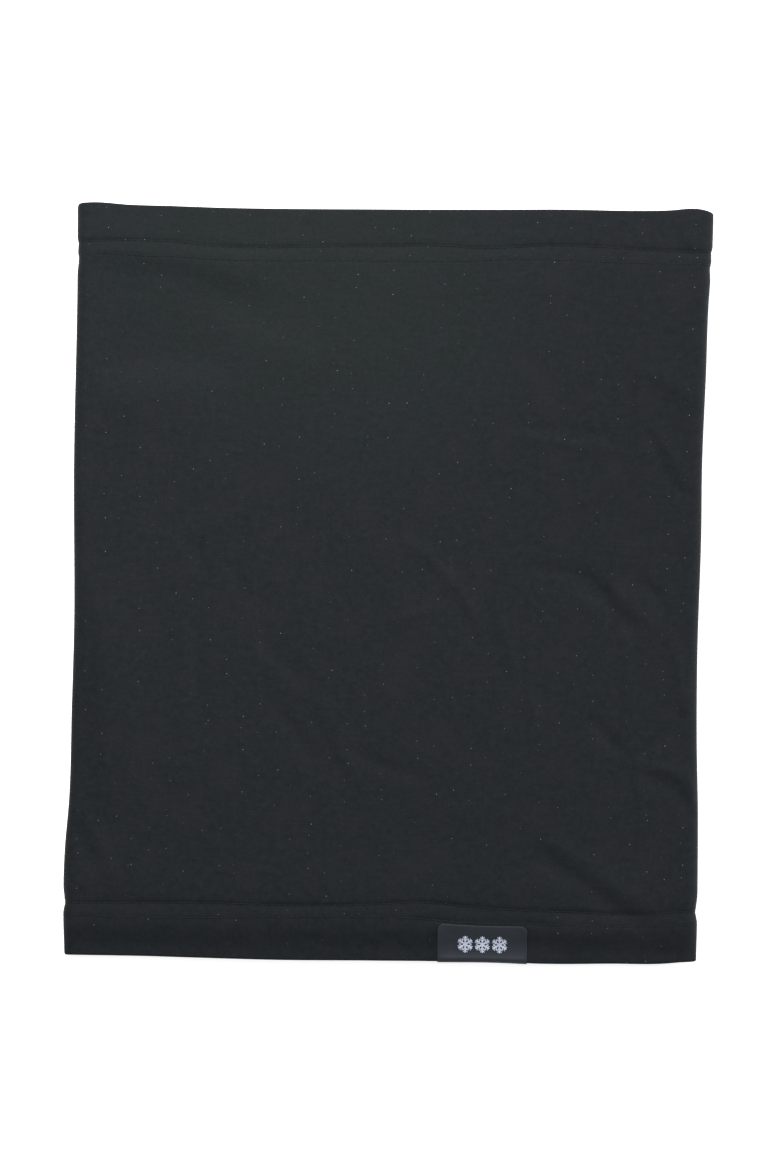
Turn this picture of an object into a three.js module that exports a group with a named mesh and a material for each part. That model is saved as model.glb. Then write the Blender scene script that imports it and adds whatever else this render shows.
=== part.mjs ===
// Neck gaiter laid flat: a tube of knitted cloth with both ends turned in and hemmed with two needle
// rows, a flat seam at the centre back, and a soft tab label folded over the lower front edge.
// Millimetres, +Z up. X runs across the gaiter and +Y points to its upper hem. The origin is under
// the middle of the back layer, which lies flat on Z = 0.
import * as THREE from 'three';

// Driving dimensions
const hemWidth = 250; // flat width across either hem
const waistWidth = 246; // flat width halfway between the hems
const length = 296; // back layer, folded edge to folded edge
const upperInset = 0.4; // the front upper folded edge lies this far inside the back one
const lowerInset = 2.6; // and the front lower folded edge this far
const mouth = 4.4; // clear height between the front and back layers
const cloth = 0.8; // knitted cloth
const layerGap = 0.3; // air between the cloth and its own turned-in hem

// Hems: two rows of needle thread outside, one band of looper thread inside
const outerRow = 14.5; // outer needle row, from the folded edge
const needleGauge = 6.4; // between the two needle rows
const rawEdgeMargin = 2.5; // turned-in cloth beyond the inner needle row
const hemNeedleWidth = 0.4;

// Threads lie in channels, because their tension pulls them into the cloth
const threadThickness = 0.25;
const threadSink = 0.05; // from the cloth face down to the outer side of a thread
const threadFloorGap = 0.25; // between a thread and the floor of its channel
const threadSideGap = 0.3; // between a thread and the wall of its channel
const channelLean = 0.15; // sideways lean of a channel wall

// Flat centre-back seam, where the two cloth edges meet
const seamOpening = 0.4; // between the two cloth edges
const seamGauge = 6; // between the two seam needle rows
const seamNeedleWidth = 0.4;
const seamThreadSpacing = 0.3; // between the cover band and each needle row
const seamShoulder = 0.4; // slope from the seam channel up to the cloth face
const seamEndGap = 1.2; // from a folded edge to the end of the outside seam threads
const seamHemGap = 0.4; // from a turned-in raw edge to the end of the inside seam thread

// Tab label folded over the lower front edge
const labelWidth = 34.5;
const labelHeight = 15.4; // from its fold to its upper edge
const labelThickness = 0.6;
const labelCentre = 40; // to the right of the middle
const labelCorner = 2;
const labelGap = 0.3; // between the label and the hem inside it
const labelOverhang = 2.6; // how far its fold hangs below the front folded edge

// Raised snowflakes in a row on the label
const flakeCount = 3;
const flakeSize = 6.2; // tip to tip
const flakePitch = 7;
const flakeArmWidth = 0.9;
const flakeBarb = 0.75; // how far a barb stands out from its arm
const flakeBarbStart = 0.5; // as a share of the arm's length
const flakeBarbEnd = 0.7;
const flakeBarbLean = 0.18;
const flakeRelief = 0.3;
const flakeGap = 0.3; // between a snowflake and the label face
const flakeRise = 7.1; // centre of the row above the label's fold

// Facets
const sideSteps = 8; // in the half round of each side fold and of the label's fold
const turnSteps = 4; // in the half round of a turned edge
const waistSteps = 4; // from the middle to each hem
const cornerSteps = 4; // in each label corner

// Sizes that follow from those above
const stack = 2 * cloth + layerGap;
const height = 2 * stack + mouth;
const sideRadius = height / 2;
const turnRadius = stack / 2;
const channelDepth = threadSink + threadThickness + threadFloorGap;
const edge = length / 2;
const outerRowY = edge - outerRow;
const innerRowY = outerRowY - needleGauge;
const rawEdge = innerRowY - rawEdgeMargin;
const seamHalf = (seamGauge + seamNeedleWidth) / 2;
const seamChannel = seamHalf + threadSideGap;
const seamClear = seamChannel + seamShoulder;
const labelFold = lowerInset - edge - labelOverhang;

const looks = {
  cloth: { color: '#292d30', roughness: 0.93 },
  thread: { color: '#363b3f', roughness: 0.7 },
  label: { color: '#33373b', roughness: 0.55 },
  motif: { color: '#d0dae5', roughness: 0.5 },
};

function makePiece(name, geometry, look) {
  const material = new THREE.MeshStandardMaterial({ ...looks[look], metalness: 0 });
  const piece = new THREE.Mesh(geometry, material);
  piece.name = name;
  return piece;
}

// Every skinned shape is a strip with two sides. An outline runs along one side and back along the
// other, so point i faces point size - 1 - i, and an end is filled like the rungs of a ladder.
function outlineOf(pairs) {
  const near = pairs.map((pair) => pair[0]);
  const far = pairs.map((pair) => pair[1]);
  return [...near, ...far.reverse()];
}

function signedVolume(geometry) {
  const corners = [new THREE.Vector3(), new THREE.Vector3(), new THREE.Vector3()];
  const { array } = geometry.index;
  let volume = 0;
  for (let i = 0; i < array.length; i += 3) {
    corners.forEach((corner, k) => corner.fromBufferAttribute(geometry.attributes.position, array[i + k]));
    volume += corners[0].dot(corners[1].cross(corners[2])) / 6;
  }
  return volume;
}

// Skins a row of outlines into one closed body, with its faces pointing out
function skin(outlines) {
  const size = outlines[0].length;
  const last = (outlines.length - 1) * size;
  const index = [];
  for (let start = 0; start < last; start += size) {
    for (let i = 0; i < size; i += 1) {
      const next = (i + 1) % size;
      index.push(start + i, start + next, start + size + next);
      index.push(start + i, start + size + next, start + size + i);
    }
  }
  for (let i = 0; i < size / 2 - 1; i += 1) {
    const [a, b, c, d] = [i, i + 1, size - 2 - i, size - 1 - i];
    index.push(a, c, b, a, d, c);
    index.push(last + a, last + b, last + c, last + a, last + c, last + d);
  }
  const geometry = new THREE.BufferGeometry();
  geometry.setAttribute('position', new THREE.Float32BufferAttribute(outlines.flat(2), 3));
  geometry.setIndex(index);
  if (signedVolume(geometry) < 0) {
    geometry.setIndex(index.reverse());
  }
  return geometry;
}

// The flattened tube. A place on it is a stop on the way round, a distance y along the tube and a
// depth below its outer face. The way round runs from the right of the seam, along the back, over
// the right side fold, across the front, over the left side fold and back to the seam.
function halfWidth(y) {
  const fromMiddle = Math.min(Math.abs(y) / rawEdge, 1);
  const narrowing = (hemWidth - waistWidth) / 2;
  return hemWidth / 2 - narrowing * Math.cos((fromMiddle * Math.PI) / 2) ** 2;
}

function stopsRound(seamStops) {
  const right = [];
  const left = [];
  for (let i = 0; i <= sideSteps; i += 1) {
    const turn = (Math.PI * i) / sideSteps;
    right.push({ angle: turn - Math.PI / 2, side: 1, recess: 0 });
    left.push({ angle: turn + Math.PI / 2, side: -1, recess: 0 });
  }
  const rightSeam = seamStops.map((stop) => ({ ...stop, angle: -Math.PI / 2 }));
  const leftSeam = seamStops.map((stop) => ({ ...stop, x: -stop.x, angle: -Math.PI / 2 }));
  return [...rightSeam, ...right, ...left, ...leftSeam.reverse()];
}

// How much higher up the tube the front layer lies than the back one. The inset of the lower edge
// passes evenly into that of the upper edge.
function frontShift(y) {
  return (lowerInset * (edge - y) - upperInset * (edge + y)) / length;
}

function placeOnTube(stop, [y, depth]) {
  const centre = stop.side ? stop.side * (halfWidth(y) - sideRadius) : stop.x;
  const radius = sideRadius - Math.max(depth, stop.recess);
  const lift = (1 + Math.sin(stop.angle)) / 2; // 0 on the back, 1 on the front
  return [
    centre + radius * Math.cos(stop.angle),
    y + lift * frontShift(y),
    sideRadius + radius * Math.sin(stop.angle),
  ];
}

function wrapRound(stops, pairs) {
  const outline = outlineOf(pairs);
  return skin(stops.map((stop) => outline.map((point) => placeOnTube(stop, point))));
}

// A channel for the threads between two distances along the tube: face point, floor, floor, face
function channel(from, to, faceDepth, floorDepth, liningDepth) {
  const way = Math.sign(to - from);
  const floorFrom = from - way * threadSideGap;
  const floorTo = to + way * threadSideGap;
  return [
    [[floorFrom - way * channelLean, faceDepth], [floorFrom - way * channelLean, liningDepth]],
    [[floorFrom, floorDepth], [floorFrom, liningDepth]],
    [[floorTo, floorDepth], [floorTo, liningDepth]],
    [[floorTo + way * channelLean, faceDepth], [floorTo + way * channelLean, liningDepth]],
  ];
}

// Half of the cloth, from beside the middle, round the turned edge and back to the raw edge
function halfOfCloth() {
  const half = hemNeedleWidth / 2;
  const pairs = [];
  for (let i = 1; i <= waistSteps; i += 1) {
    const y = (rawEdge * i) / waistSteps;
    pairs.push([[y, 0], [y, cloth]]);
  }
  for (const row of [innerRowY, outerRowY]) {
    pairs.push(...channel(row - half, row + half, 0, channelDepth, cloth));
  }
  for (let i = 0; i <= turnSteps; i += 1) {
    const turn = (Math.PI * i) / turnSteps;
    const [along, down] = [Math.sin(turn), Math.cos(turn)];
    const y = edge - turnRadius;
    pairs.push([
      [y + turnRadius * along, turnRadius * (1 - down)],
      [y + (layerGap / 2) * along, turnRadius - (layerGap / 2) * down],
    ]);
  }
  const hidden = cloth + layerGap;
  pairs.push(...channel(outerRowY + half, innerRowY - half, stack, stack - channelDepth, hidden));
  pairs.push([[rawEdge, stack], [rawEdge, hidden]]);
  return pairs;
}

function makeBodyCloth() {
  const upper = halfOfCloth();
  const lower = upper.map((pair) => pair.map(([y, depth]) => [-y, depth])).reverse();
  const middle = [[0, 0], [0, cloth]];
  const stops = stopsRound([
    { x: seamOpening / 2, recess: channelDepth },
    { x: seamChannel, recess: channelDepth },
    { x: seamClear, recess: 0 },
  ]);
  return makePiece('body_cloth', wrapRound(stops, [...lower, middle, ...upper]), 'cloth');
}

// A flat band of thread round the tube, from one side of the seam to the other
function makeThreadRound(name, from, to, depth) {
  const far = depth + threadThickness;
  const pairs = [[[from, depth], [from, far]], [[to, depth], [to, far]]];
  return makePiece(name, wrapRound(stopsRound([{ x: seamClear, recess: 0 }]), pairs), 'thread');
}

function makeHemThreads(hem, way) {
  const half = hemNeedleWidth / 2;
  const group = new THREE.Group();
  const rows = { outer: outerRowY, inner: innerRowY };
  for (const [row, y] of Object.entries(rows)) {
    const name = `${hem}_hem_needle_thread_${row}`;
    group.add(makeThreadRound(name, way * (y - half), way * (y + half), threadSink));
  }
  const inside = stack - threadSink - threadThickness;
  const looper = `${hem}_hem_looper_thread`;
  group.add(makeThreadRound(looper, way * (innerRowY - half), way * (outerRowY + half), inside));
  return group;
}

// A flat run of thread along the seam, on the back layer
function makeSeamThread(name, centre, width, reach, bottom) {
  const piece = makePiece(name, new THREE.BoxGeometry(width, 2 * reach, threadThickness), 'thread');
  piece.position.set(centre, 0, bottom + threadThickness / 2);
  return piece;
}

function makeBackSeam() {
  const needle = seamGauge / 2;
  const cover = seamGauge - seamNeedleWidth - 2 * seamThreadSpacing;
  const outside = edge - seamEndGap;
  const inside = rawEdge - seamHemGap;
  const insideBottom = cloth + threadFloorGap;
  const group = new THREE.Group();
  group.add(makeSeamThread('back_seam_needle_thread_right', needle, seamNeedleWidth, outside, threadSink));
  group.add(makeSeamThread('back_seam_needle_thread_left', -needle, seamNeedleWidth, outside, threadSink));
  group.add(makeSeamThread('back_seam_cover_thread', 0, cover, outside, threadSink));
  group.add(makeSeamThread('back_seam_looper_thread', 0, 2 * seamHalf, inside, insideBottom));
  return group;
}

// The label in section is a U round the front hem. Its upper corners are rounded.
function makeLabel() {
  const inner = stack / 2 + labelGap;
  const outer = inner + labelThickness;
  const hemMiddle = height - stack / 2;
  const foldCentre = labelFold + outer;
  const section = (x, top) => {
    const pairs = [[[x, top, hemMiddle + outer], [x, top, hemMiddle + inner]]];
    for (let i = 0; i <= sideSteps; i += 1) {
      const turn = (Math.PI * i) / sideSteps;
      const [along, up] = [Math.sin(turn), Math.cos(turn)];
      pairs.push([outer, inner].map((r) => [x, foldCentre - r * along, hemMiddle + r * up]));
    }
    pairs.push([[x, top, hemMiddle - outer], [x, top, hemMiddle - inner]]);
    return outlineOf(pairs);
  };
  const top = labelFold + labelHeight;
  const left = [];
  const right = [];
  for (let i = 0; i <= cornerSteps; i += 1) {
    const turn = (Math.PI / 2 / cornerSteps) * i;
    const reach = labelWidth / 2 - labelCorner * (1 - Math.cos(turn));
    const drop = labelCorner * (1 - Math.sin(turn));
    left.push(section(labelCentre - reach, top - drop));
    right.push(section(labelCentre + reach, top - drop));
  }
  return makePiece('tab_label', skin([...left, ...right.reverse()]), 'label');
}

// Six arms, each with a pair of barbs. The corners between two arms are shared.
function snowflakeShape() {
  const half = flakeArmWidth / 2;
  const tip = flakeSize / 2;
  const root = half / Math.tan(Math.PI / 6);
  const side = [
    [root, half],
    [tip * flakeBarbStart, half],
    [tip * (flakeBarbStart + flakeBarbLean), half + flakeBarb],
    [tip * (flakeBarbEnd + flakeBarbLean), half + flakeBarb],
    [tip * flakeBarbEnd, half],
    [tip, half],
  ];
  const arm = [...side.map(([u, v]) => [u, -v]), ...side.slice(1).reverse()];
  const points = [];
  for (let k = 0; k < 6; k += 1) {
    const turn = (Math.PI * k) / 3 + Math.PI / 2;
    for (const [u, v] of arm) {
      points.push(new THREE.Vector2(u, v).rotateAround(new THREE.Vector2(), turn));
    }
  }
  return new THREE.Shape(points);
}

function makeSnowflake(number) {
  const geometry = new THREE.ExtrudeGeometry(snowflakeShape(), { depth: flakeRelief, bevelEnabled: false });
  const piece = makePiece(`label_snowflake_${number}`, geometry, 'motif');
  const fromMiddle = number - (flakeCount + 1) / 2;
  const labelFace = height + labelGap + labelThickness;
  piece.position.set(labelCentre + fromMiddle * flakePitch, labelFold + flakeRise, labelFace + flakeGap);
  return piece;
}

const gaiter = new THREE.Group();
gaiter.add(makeBodyCloth());
gaiter.add(makeHemThreads('top', 1));
gaiter.add(makeHemThreads('bottom', -1));
gaiter.add(makeBackSeam());
gaiter.add(makeLabel());
for (let number = 1; number <= flakeCount; number += 1) {
  gaiter.add(makeSnowflake(number));
}

export default gaiter;
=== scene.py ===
import math

import bmesh
import bpy
import numpy as np
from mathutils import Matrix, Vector


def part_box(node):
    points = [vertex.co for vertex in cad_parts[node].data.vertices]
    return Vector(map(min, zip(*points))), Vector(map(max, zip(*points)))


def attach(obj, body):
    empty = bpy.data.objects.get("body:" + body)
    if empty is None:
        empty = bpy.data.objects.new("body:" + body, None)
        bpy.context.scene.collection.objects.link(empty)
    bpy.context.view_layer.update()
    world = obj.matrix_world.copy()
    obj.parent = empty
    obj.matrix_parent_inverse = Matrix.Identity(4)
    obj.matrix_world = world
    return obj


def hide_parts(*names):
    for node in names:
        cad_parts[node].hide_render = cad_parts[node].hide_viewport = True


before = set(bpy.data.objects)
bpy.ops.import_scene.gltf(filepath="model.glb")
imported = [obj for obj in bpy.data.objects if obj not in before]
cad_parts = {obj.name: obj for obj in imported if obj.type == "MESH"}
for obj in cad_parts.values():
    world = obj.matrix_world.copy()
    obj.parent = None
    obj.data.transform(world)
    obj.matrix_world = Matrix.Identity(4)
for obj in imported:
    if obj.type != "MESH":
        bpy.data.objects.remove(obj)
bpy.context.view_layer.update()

# Lengths are millimetres until a mesh gets its place, and metres in every mesh.
mm = 0.001
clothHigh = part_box("body_cloth")[1] / mm
labelLow, labelHigh = (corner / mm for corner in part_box("tab_label"))
labelMiddle = (labelLow.x + labelHigh.x) / 2


def deselectAll():
    if bpy.context.object and bpy.context.object.mode != "OBJECT":
        bpy.ops.object.mode_set(mode="OBJECT")
    bpy.ops.object.select_all(action="DESELECT")


def editMode(piece, kind="VERT"):
    bpy.context.view_layer.objects.active = piece
    bpy.ops.object.mode_set(mode="EDIT")
    bpy.ops.mesh.select_mode(type=kind)
    bpy.ops.mesh.select_all(action="DESELECT")


def selectVerts(piece, wanted):
    # wanted takes a vertex place in millimetres
    bpy.ops.mesh.select_all(action="DESELECT")
    mesh = bmesh.from_edit_mesh(piece.data)
    for vert in mesh.verts:
        vert.select_set(bool(wanted(vert.co / mm)))
    mesh.select_flush(True)
    bmesh.update_edit_mesh(piece.data)


def extrudeBy(x=0.0, y=0.0, z=0.0):
    bpy.ops.mesh.extrude_region_move(TRANSFORM_OT_translate={"value": (x * mm, y * mm, z * mm)})


def applyModifier(piece, kind, **settings):
    bpy.ops.object.mode_set(mode="OBJECT")
    bpy.context.view_layer.objects.active = piece
    modifier = piece.modifiers.new(kind.title(), kind)
    for name, value in settings.items():
        setattr(modifier, name, value)
    bpy.ops.object.modifier_apply(modifier=modifier.name)


def mergeAndTurnOut(piece):
    editMode(piece)
    bpy.ops.mesh.select_all(action="SELECT")
    bpy.ops.mesh.remove_doubles(threshold=0.002 * mm)
    bpy.ops.mesh.normals_make_consistent(inside=False)
    bpy.ops.object.mode_set(mode="OBJECT")


def smoothShade(piece, degrees=50):
    deselectAll()
    piece.select_set(True)
    bpy.context.view_layer.objects.active = piece
    bpy.ops.object.shade_smooth_by_angle(angle=math.radians(degrees))


def places(piece):
    co = np.empty(len(piece.data.vertices) * 3)
    piece.data.vertices.foreach_get("co", co)
    return co.reshape(-1, 3) / mm


def setPlaces(piece, co):
    piece.data.vertices.foreach_set("co", (co * mm).ravel())
    piece.data.update()


def ease(t):
    t = np.clip(t, 0, 1)
    return t * t * (3 - 2 * t)


def bell(distance, width):
    return np.exp(-(distance / width) ** 2)


def through(points):
    # a smooth curve y(x) through a few points, level beyond its ends
    xs, ys = np.array(points, float).T
    slopes = np.gradient(ys, xs)

    def value(x):
        x = np.clip(x, xs[0], xs[-1])
        k = np.clip(np.searchsorted(xs, x) - 1, 0, len(xs) - 2)
        span = xs[k + 1] - xs[k]
        t = (x - xs[k]) / span
        rise = ys[k + 1] - ys[k]
        cubic = t * t * (3 - 2 * t)
        return (ys[k] + rise * cubic + span * slopes[k] * t * (1 - t) ** 2
                - span * slopes[k + 1] * t * t * (1 - t))

    return value


def finished(piece, nodes, material):
    piece.data.materials.clear()
    piece.data.materials.append(material)
    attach(piece, "root")
    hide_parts(*nodes)


# The camera looks straight down.
cameraView = {
    "lens": 100,              # mm
    "frameHeight": 459.9,     # mm of the table that the long side of the frame takes in
    "roll": 0.7,              # degrees
    "aside": (0.8, -0.4),     # mm from the gaiter's middle
}


def addCamera():
    data = bpy.data.cameras.new("camera")
    data.lens = cameraView["lens"]
    data.dof.use_dof = False
    distance = cameraView["frameHeight"] * data.lens / data.sensor_width
    camera = bpy.data.objects.new("camera", data)
    camera.location = Vector((*cameraView["aside"], clothHigh.z + distance)) * mm
    camera.rotation_euler = (0, 0, math.radians(cameraView["roll"]))
    bpy.context.scene.collection.objects.link(camera)
    bpy.context.scene.camera = camera


addCamera()
print("camera ready")


# Every piece is first made flat, as cut: x round the tube from the centre front, y along it,
# z up from the cloth's outer face. layInPlace then lays it as the tube lies on the table.
gaiter = {
    "halfWidth": clothHigh.x,
    "halfLength": clothHigh.y,
    "foldReach": 3.8,         # how far in from the side edge the fold's round goes
    "bodyHeight": 7.0,        # outer face of the front layer above the table
    "hemHeight": 7.6,
    "cloth": 0.8,
    "hemGap": 0.15,           # air between a hem's two layers
    "outerRow": 14.5,         # needle rows, from the hem's folded edge
    "needleGauge": 6.4,
    "rawEdgePast": 2.5,       # the turned-in layer ends this far past the inner row
    "seamOpening": 0.01,      # the panel's two edges butt against each other
    "upperInset": -0.3,       # the front's folded edges lie inside the back's by these
    "lowerInset": 0.5,
    "hemDroop": 1.3,          # the front's lower hem sinks this much, and then its folded edge
    "edgeDroop": 2.6,         # this much more, until it rests on the back
    "lipRise": 0.3,           # its last few millimetres stand a little proud
    "legRoom": 0.85,          # for the label's leg between the front's hem and the back's
    "sideNotch": 0.55,        # the sides draw in this much beside the inner rows
    "backWave": 0.18,         # height of the back's slow waves
    "backStray": 0.45,        # the back strays along the tube this share of what the front does
    "rowPinch": (0.52, 0.05), # how deep the stitches draw in: the hem's leading row, the other
    "rowPinchWidth": (0.7, 2.6),      # above a row, and below the leading one
    "seamLift": 0.5,          # the back rises off the table this much along its seam
    "hemLift": 0.3,           # and this much in its hems, which rest on their stitches
}
halfLength = gaiter["halfLength"]
stack = 2 * gaiter["cloth"] + gaiter["hemGap"]
frontHalf = gaiter["halfWidth"] - gaiter["foldReach"]
foldArc = math.pi * gaiter["foldReach"]
halfGirth = 2 * frontHalf + foldArc
outerRowY = halfLength - gaiter["outerRow"]
innerRowY = outerRowY - gaiter["needleGauge"]
rawEdgeY = innerRowY - gaiter["rawEdgePast"]

# how far the laid gaiter strays from a straight outline: (place along, shift)
leftStray = through([(-148, -1.1), (-130, -1.6), (-105, -1.2), (-88, 0.1), (-50, 0.8), (-20, 1.3),
                     (45, 0.5), (120, 1.0), (148, 0.8)])
rightStray = through([(-148, -1.5), (-118, -1.4), (-90, -1.6), (-60, -2.4), (-28, -2.6), (23, -1.6),
                      (47, -1.6), (85, -0.5), (113, 0.2), (127, 1.1), (148, 1.7)])
# the same for the folded edges and the needle rows: (place across, shift)
topEdgeStray = through([(-127, -1.7), (-124.5, 0.1), (-121, 0.5), (-103, -0.3), (-87, -0.6), (-68, -1.0),
                        (-25, -1.0), (26, -0.6), (60, -0.1), (107, 0.1), (119, 0.8), (126, -0.8)])
topOuterStray = through([(-124, -0.6), (-104, 0.1), (-87, -0.2), (-75, -1.4), (-16, -1.2), (20, -0.6),
                         (34, -1.3), (60, 0), (80, -0.2), (100, -1.3), (116, -1.8)])
topInnerStray = through([(-124, 1.0), (-110, 1.2), (-99, 0.5), (-87, 0.3), (-75, -0.4), (-16, -0.4),
                         (3, -0.3), (31, 0.1), (44, 0.8), (66, 0.9), (82, 0.3), (113, -0.2)])
lowInnerStray = through([(-124, -0.3), (-70, 0.2), (-20, -0.2), (0, 0.6), (18, 1.5), (30, 0.5),
                         (48, -0.9), (77, -1.8), (101, -2.3), (116, -1.2)])
lowOuterStray = through([(-124, 1.7), (-100, 0.7), (-40, 1.4), (18, 1.3), (30, 0.3), (66, -0.2),
                         (101, -0.5), (120, 0.2)])
lowEdgeStray = through([(-126, -0.2), (-100, -0.4), (-78, -0.8), (-40, -1.4), (0, -1.2), (23, -1.1),
                        (42, -1.0), (69, -1.7), (92, -1.3), (111, -1.1), (124, 0.2)])
strayFrom = 95    # the body is straight within this of its middle

# Creases of the front layer. The slope that faces away from the light, towards the lower left,
# runs along the points; the cloth climbs to the left of the way they go. rise puts a fold's
# crest there (or, if negative, a trough on the other side), roll does both, and shelf is a step
# that dies away slowly. fade is the share of a crease's length over which each of its ends
# comes up from nothing.
creases = {
    "middleSweep": {"points": [(-2, 16.5), (7, 14.5), (14, 10), (20, 4.5), (26, -2.5), (31, -10),
                               (37, -23)],
                    "width": 2.2, "rise": 0.55, "fade": 0.24},
    "middleSweepTail": {"points": [(37.5, 0), (41.5, -8), (44, -18), (47, -28), (51, -38)],
                        "width": 2.2, "rise": 0.5},
    "rightArchTop": {"points": [(47, 7.5), (60, 8.6), (71, 7.2), (80, 3.6), (86, -1.2), (91, -9),
                                (97, -14.5), (103, -20)], "width": 2.9, "rise": -0.6, "fade": 0.24},
    "rightArchSide": {"points": [(78, 4), (89, -4), (97, -12), (105, -18.5), (110, -25)],
                      "width": 3.0, "rise": 0.5},
    "rightArchKnuckle": {"points": [(94, -1), (100, 2.2), (106, -1.5), (110, -9)],
                         "width": 1.9, "rise": -0.7},
    "underArch": {"points": [(90, -11), (81, -5.5), (66, -0.5)], "width": 2.8, "shelf": 0.42},
    "rightArchDrop": {"points": [(90, -11), (92.5, -28), (94, -42), (95, -56)],
                      "width": 2.2, "rise": 0.45},
    "rightEdgeUpright": {"points": [(112, -22), (113.5, -35), (114.5, -50)], "width": 2.6, "rise": 0.6},
    "upperThin": {"points": [(91, 54.8), (80, 57), (65, 58.8), (45, 61.5)], "width": 1.3, "shelf": 0.45,
                  "fade": 0.12},
    "upperThinTail": {"points": [(74, 28.5), (83, 36), (93, 46)], "width": 2.2, "rise": 0.5},
    "rightShort": {"points": [(100, 64), (106, 56.5), (109.5, 50), (113, 42.5), (121, 35)],
                   "width": 2.8, "roll": 0.42, "fade": 0.22},
    "rightBow": {"points": [(94, 84), (103, 81), (112, 76), (122, 67)], "width": 4.2, "rise": 0.62},
    "rightBowSide": {"points": [(96, 90), (96.5, 73), (96, 52)], "width": 2.0, "roll": 0.4},
    "lowerFold": {"points": [(54, -98), (64, -104), (73, -110), (84, -118), (96, -125.5), (112, -134)],
                  "width": 5.2, "roll": 0.66, "fade": 0.25},
    "lowerRightTriangle": {"points": [(100, -71), (108, -74), (115, -77), (120, -84), (124, -94)],
                           "width": 3.6, "roll": 0.6, "fade": 0.16},
    "lowerRightBow": {"points": [(99, -70), (101, -64.5), (106, -60), (112, -54), (116, -44)],
                      "width": 2.1, "rise": -0.6, "fade": 0.18},
    "lowerRightUpright": {"points": [(100, -61), (98, -67), (97.5, -75), (98.5, -86)],
                          "width": 2.0, "roll": 0.32},
    "lowerRightTick": {"points": [(80, -48), (86, -56), (92, -61.5), (97, -64)],
                       "width": 2.7, "rise": -0.75},
    "leftSweep": {"points": [(-29, -47), (-36, -39.5), (-43, -33), (-50, -27), (-57, -18)],
                  "width": 1.8, "shelf": 0.42},
    "leftSweepUpper": {"points": [(-56, -14), (-60, -3), (-67, 9)], "width": 1.9, "shelf": 0.26},
    "leftLowerSweep": {"points": [(-33, -38), (-27, -50), (-21, -65), (-15, -75), (-8, -90)],
                       "width": 3.6, "roll": 0.3},
    "leftLowerShort": {"points": [(-45, -41), (-39, -51), (-33, -59.5), (-27, -69), (-21, -79)],
                       "width": 3.5, "rise": -0.55},
    "lowerMiddleShort": {"points": [(-13, -60), (-8, -66.5), (-1, -70), (9, -73), (22, -76)],
                         "width": 2.4, "rise": -0.42},
    "leftUpright": {"points": [(-75, -64), (-76.5, -45), (-78, -12)],
                    "width": 1.9, "shelf": 0.5, "fade": 0.2},
    "leftUprightUpper": {"points": [(-74, -2), (-77, 6), (-80, 18)], "width": 2.0, "shelf": 0.35},
    "leftRising": {"points": [(-84, 14), (-65, 22), (-46, 34)], "width": 2.4, "rise": 0.2},
    "leftEdgeHollow": {"points": [(-118, 12), (-117, -30), (-115, -62), (-114, -100)],
                       "width": 5.0, "shelf": 1.2},
    "leftCornerUpper": {"points": [(-123, -88), (-117, -100), (-112, -111), (-107, -124)],
                        "width": 4.4, "roll": 0.42},
    "leftCornerLower": {"points": [(-122, -124), (-112, -119), (-102, -112)], "width": 3.6, "rise": 0.4},
    "middleFaint": {"points": [(1, -18), (12, -13.5), (24, -8)], "width": 2.2, "rise": 0.5},
    "lowerFaintUpright": {"points": [(55, -37), (56, -50), (57, -66)], "width": 2.2, "rise": 0.45},
    "lowerFaintLevel": {"points": [(16, -90.5), (36, -93), (56, -94)], "width": 3.2, "rise": 0.2},
    "lowerLeftTick": {"points": [(-75, -98), (-70, -103), (-65, -108)], "width": 2.2, "rise": 0.35},
    "topLeftBand": {"points": [(-128, 127), (-104, 126), (-84, 123.5), (-66, 118), (-42, 112)],
                    "width": 5.0, "shelf": 0.95},
    "topLeftBandLower": {"points": [(-18, 88), (-42, 97), (-78, 110)], "width": 6.0, "shelf": 0.7},
    "upperLeftBand": {"points": [(-56, 80), (-90, 82), (-122, 74)], "width": 7.0, "shelf": 1.5},
    "topRightFaint": {"points": [(38, 118), (56, 116.5), (76, 114)], "width": 3.4, "rise": 0.26},
    "topRightCorner": {"points": [(115, 148), (114, 138), (117, 128)], "width": 4.0, "roll": 0.3},
    "aboveLabel": {"points": [(8, -130.6), (24, -131), (40, -131.3), (56, -131.8), (70, -133)],
                   "width": 1.5, "roll": 0.24, "fade": 0.2},
    "leftOfLabel": {"points": [(-14, -140), (6, -139.5), (22, -138.5)], "width": 3.2, "roll": 0.26},
    "rightOfLabel": {"points": [(52, -138), (70, -139), (98, -140)], "width": 3.2, "roll": 0.26},
}
usualFade = 0.3
crestAside = 0.7      # a crest lies this many widths beside its points
foldFeltTo = 3.4      # a fold is felt this many widths away, a shelf further
shelfFeltTo = 7
# slow waves of the front layer: (height, length across, length along, start)
slowWaves = [(0.22, 190, 260, 0.4), (0.16, -120, 150, 2.1), (0.10, 74, -110, 4.0), (0.05, 46, 58, 1.2)]
mouthWaves = [(0.16, 83, 0.5), (0.10, 41, 2.0)]      # along the folded edges: (height, length, start)


def smoothPath(points, count=48):
    knots = np.array(points, float)
    steps = np.concatenate([[0], np.cumsum(np.hypot(*np.diff(knots, axis=0).T))])
    at = np.linspace(0, steps[-1], count)
    xCurve = through(np.column_stack([steps, knots[:, 0]]))
    yCurve = through(np.column_stack([steps, knots[:, 1]]))
    return np.column_stack([xCurve(at), yCurve(at)])


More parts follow.
